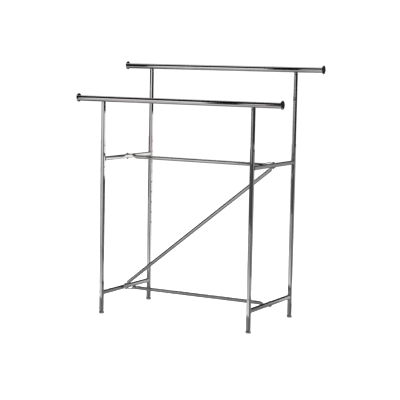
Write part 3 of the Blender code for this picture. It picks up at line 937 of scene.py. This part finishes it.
def card_material(name, low, high):
    """A glow that changes evenly from the card's lower edge to its upper one, uneven as cloth is."""
    material = bpy.data.materials.new(name)
    material.use_nodes = True
    tree = material.node_tree
    tree.nodes.clear()
    coords = tree.nodes.new("ShaderNodeTexCoord")
    split = tree.nodes.new("ShaderNodeSeparateXYZ")
    tree.links.new(coords.outputs["UV"], split.inputs["Vector"])
    tone = ramp(tree, split.outputs["Y"], [(0.0, low), (1.0, high)])
    cloth = ramp(tree, object_noise(tree, coords, 5), [(0.3, 0.88), (0.7, 1.0)])
    blend = tree.nodes.new("ShaderNodeMix")
    blend.data_type = "RGBA"
    blend.blend_type = "MULTIPLY"
    blend.inputs["Factor"].default_value = 1.0
    tree.links.new(tone, blend.inputs["A"])
    tree.links.new(cloth, blend.inputs["B"])
    glow = node_at(tree, "ShaderNodeEmission", Strength=1.0)
    tree.links.new(blend.outputs["Result"], glow.inputs["Color"])
    output = tree.nodes.new("ShaderNodeOutputMaterial")
    tree.links.new(glow.outputs["Emission"], output.inputs["Surface"])
    return material


def card(name, start, end, rise, low, high=None):
    """A card or flag that only reflections see. It runs from start to end and reaches up by rise."""
    start, end, rise = Vector(start), Vector(end), Vector(rise)
    bm = bmesh.new()
    face = bm.faces.new([bm.verts.new(point) for point in (start, end, end + rise, start + rise)])
    layer = bm.loops.layers.uv.new("card")
    for loop, place in zip(face.loops, ((0, 0), (1, 0), (1, 1), (0, 1))):
        loop[layer].uv = place
    mesh = bpy.data.meshes.new(name)
    bm.to_mesh(mesh)
    bm.free()
    obj = link_mesh(name, mesh, card_material(name, low, low if high is None else high))
    for kind in ("camera", "diffuse", "shadow", "transmission", "volume_scatter"):
        setattr(obj, "visible_" + kind, False)


def back_card(name, start, end, low, top, *tones, forward=0.0):
    """An upright card on the back wall."""
    y = BACK - forward
    card(name, (start, y, low), (end, y, low), (0, 0, top - low), *tones)


def flat_card(name, start, end, near, far, height, *tones):
    """A level card on the floor or the ceiling."""
    card(name, (start, near, height), (end, near, height), (0, far - near, 0), *tones)


def strip_wall(name, start, end, strips):
    """A dark wall with a pale foot, half lit below eye height, and strips before it."""
    start, end = Vector(start), Vector(end)
    run = (end - start).normalized()
    forward = Vector((run.y, -run.x, 0)) * STRIP_FORWARD
    bands = (
        ("foot", -WALL_FOOT, FOOT_TOP, FOOT_LIGHT),
        ("low", FOOT_TOP, EYE_HEIGHT, WALL_LOW),
        ("high", EYE_HEIGHT, CEILING, WALL_HIGH),
    )
    for band, low, high, tone in bands:
        up = Vector((0, 0, low))
        card(f"{name}_{band}", start + up, end + up, (0, 0, high - low), tone)
    for count, (near, far, low, top) in enumerate(strips):
        foot = start + forward + Vector((0, 0, low))
        card(f"{name}_strip_{count}", foot + run * near, foot + run * far, (0, 0, top - low), *STRIP_LIGHT)


def studio_world():
    """White for the camera and for soft light, mid grey where a reflection passes between cards."""
    world = bpy.data.worlds.new("studio")
    bpy.context.scene.world = world
    world.use_nodes = True
    tree = world.node_tree
    tree.nodes.clear()
    rays = tree.nodes.new("ShaderNodeLightPath")
    blend = tree.nodes.new("ShaderNodeMix")
    blend.data_type = "RGBA"
    blend.inputs["A"].default_value = (1, 1, 1, 1)
    blend.inputs["B"].default_value = (WORLD_REFLECTED, WORLD_REFLECTED, WORLD_REFLECTED, 1)
    tree.links.new(rays.outputs["Is Glossy Ray"], blend.inputs["Factor"])
    background = node_at(tree, "ShaderNodeBackground", Strength=WORLD_STRENGTH)
    tree.links.new(blend.outputs["Result"], background.inputs["Color"])
    output = tree.nodes.new("ShaderNodeOutputWorld")
    tree.links.new(background.outputs["Background"], output.inputs["Surface"])


def floor():
    bm = bmesh.new()
    bmesh.ops.create_circle(bm, cap_ends=True, radius=FLOOR_RADIUS, segments=96)
    material = bpy.data.materials.new("pale_floor")
    material.use_nodes = True
    tree = material.node_tree
    shader = tree.nodes["Principled BSDF"]
    shader.inputs["Roughness"].default_value = 0.9
    shader.inputs["Specular IOR Level"].default_value = 0.0
    coords = tree.nodes.new("ShaderNodeTexCoord")
    dark, light = FLOOR_TONES
    tint = ramp(tree, object_noise(tree, coords, 2.5), [(0.3, dark), (0.7, light)])
    tree.links.new(tint, shader.inputs["Base Color"])
    obj = from_bmesh("floor", bm, material)
    obj.location.z = -FLOOR_DEPTH
    obj.visible_glossy = False


def soft_light():
    data = bpy.data.lights.new("overhead", "AREA")
    data.shape = "RECTANGLE"
    data.size, data.size_y = OVERHEAD_SIZE
    data.energy = OVERHEAD_POWER
    obj = bpy.data.objects.new("overhead", data)
    obj.location = OVERHEAD_PLACE
    aim = Vector(OVERHEAD_AIM) - Vector(OVERHEAD_PLACE)
    obj.rotation_euler = aim.to_track_quat("-Z", "Y").to_euler()
    obj.visible_glossy = False
    bpy.context.scene.collection.objects.link(obj)


def studio():
    """What reflections see: three dark walls with strips, a back wall, a softbox and a floor."""
    strip_wall("front_wall", (RIGHT, FRONT, 0), (LEFT, FRONT, 0), FRONT_STRIPS)
    strip_wall("left_wall", (LEFT, FRONT, 0), (LEFT, BACK, 0), SIDE_STRIPS)
    strip_wall("right_wall", (RIGHT, BACK, 0), (RIGHT, FRONT, 0), SIDE_STRIPS)
    back_card("paper", PAPER_START, PAPER_EDGE, 0, PAPER_TOP, 1.0)
    back_card("above_paper", PAPER_START, PAPER_EDGE, PAPER_TOP, CEILING, WALL_HIGH)
    back_card("dark_behind", LEFT, PAPER_START, -WALL_FOOT, CEILING, *DARK_BEHIND)
    back_card("grey_card", PAPER_EDGE, GREY_EDGE, -WALL_FOOT, GREY_TOP, 0.38)
    back_card("above_grey", PAPER_EDGE, GREY_EDGE, GREY_TOP, CEILING, 0.05)
    back_card("beside_grey", GREY_EDGE, RIGHT, -WALL_FOOT, CEILING, 0.06)
    back_card(
        "low_flag", LOW_FLAG_START, PAPER_EDGE, 0, LOW_FLAG_TOP, *LOW_FLAG_TONES, forward=LOW_FLAG_FORWARD
    )
    flat_card("ceiling", LEFT, RIGHT, FRONT, SOFTBOX_START, CEILING, 0.012)
    flat_card("softbox", LEFT, RIGHT, SOFTBOX_START, BACK, CEILING, 1.0)
    # Painted shade: the floor before the rack darkens away from the light, and the patch under the rack is
    # its painted shadow.
    flat_card("floor_before_painted_shade", LEFT, RIGHT, FRONT, PATCH_FRONT, -PATCH_DEPTH, 0.45, 0.80)
    flat_card("floor_below_painted_shadow", PATCH_LEFT, PATCH_RIGHT, PATCH_FRONT, PATCH_BACK, -PATCH_DEPTH, 0.30)
    flat_card("floor_left", LEFT, PATCH_LEFT, PATCH_FRONT, PATCH_BACK, -PATCH_DEPTH, 0.05)
    flat_card("floor_right", PATCH_RIGHT, RIGHT, PATCH_FRONT, PATCH_BACK, -PATCH_DEPTH, 0.05)
    flat_card("floor_behind", LEFT, RIGHT, PATCH_BACK, BACK, -PATCH_DEPTH, 0.6)


def make_camera():
    data = bpy.data.cameras.new("camera")
    data.sensor_width = CAMERA_SENSOR
    data.lens = CAMERA_LENS
    data.clip_end = CAMERA_REACH
    obj = bpy.data.objects.new("camera", data)
    bpy.context.scene.collection.objects.link(obj)
    yaw, pitch, roll = CAMERA_YAW, CAMERA_PITCH, CAMERA_ROLL
    forward = Vector((-math.sin(yaw) * math.cos(pitch), math.cos(yaw) * math.cos(pitch), math.sin(pitch)))
    right = Vector((math.cos(yaw), math.sin(yaw), 0))
    up = right.cross(forward)
    rolled_right = right * math.cos(roll) + up * math.sin(roll)
    rolled_up = up * math.cos(roll) - right * math.sin(roll)
    basis = Matrix((rolled_right, rolled_up, -forward)).transposed().to_4x4()
    obj.matrix_world = Matrix.Translation(CAMERA_PLACE) @ basis
    bpy.context.scene.camera = obj


studio_world()
floor()
studio()
soft_light()
make_camera()
bpy.context.scene.view_settings.view_transform = "Standard"
bpy.context.scene.view_settings.gamma = DISPLAY_GAMMA

bpy.context.view_layer.update()
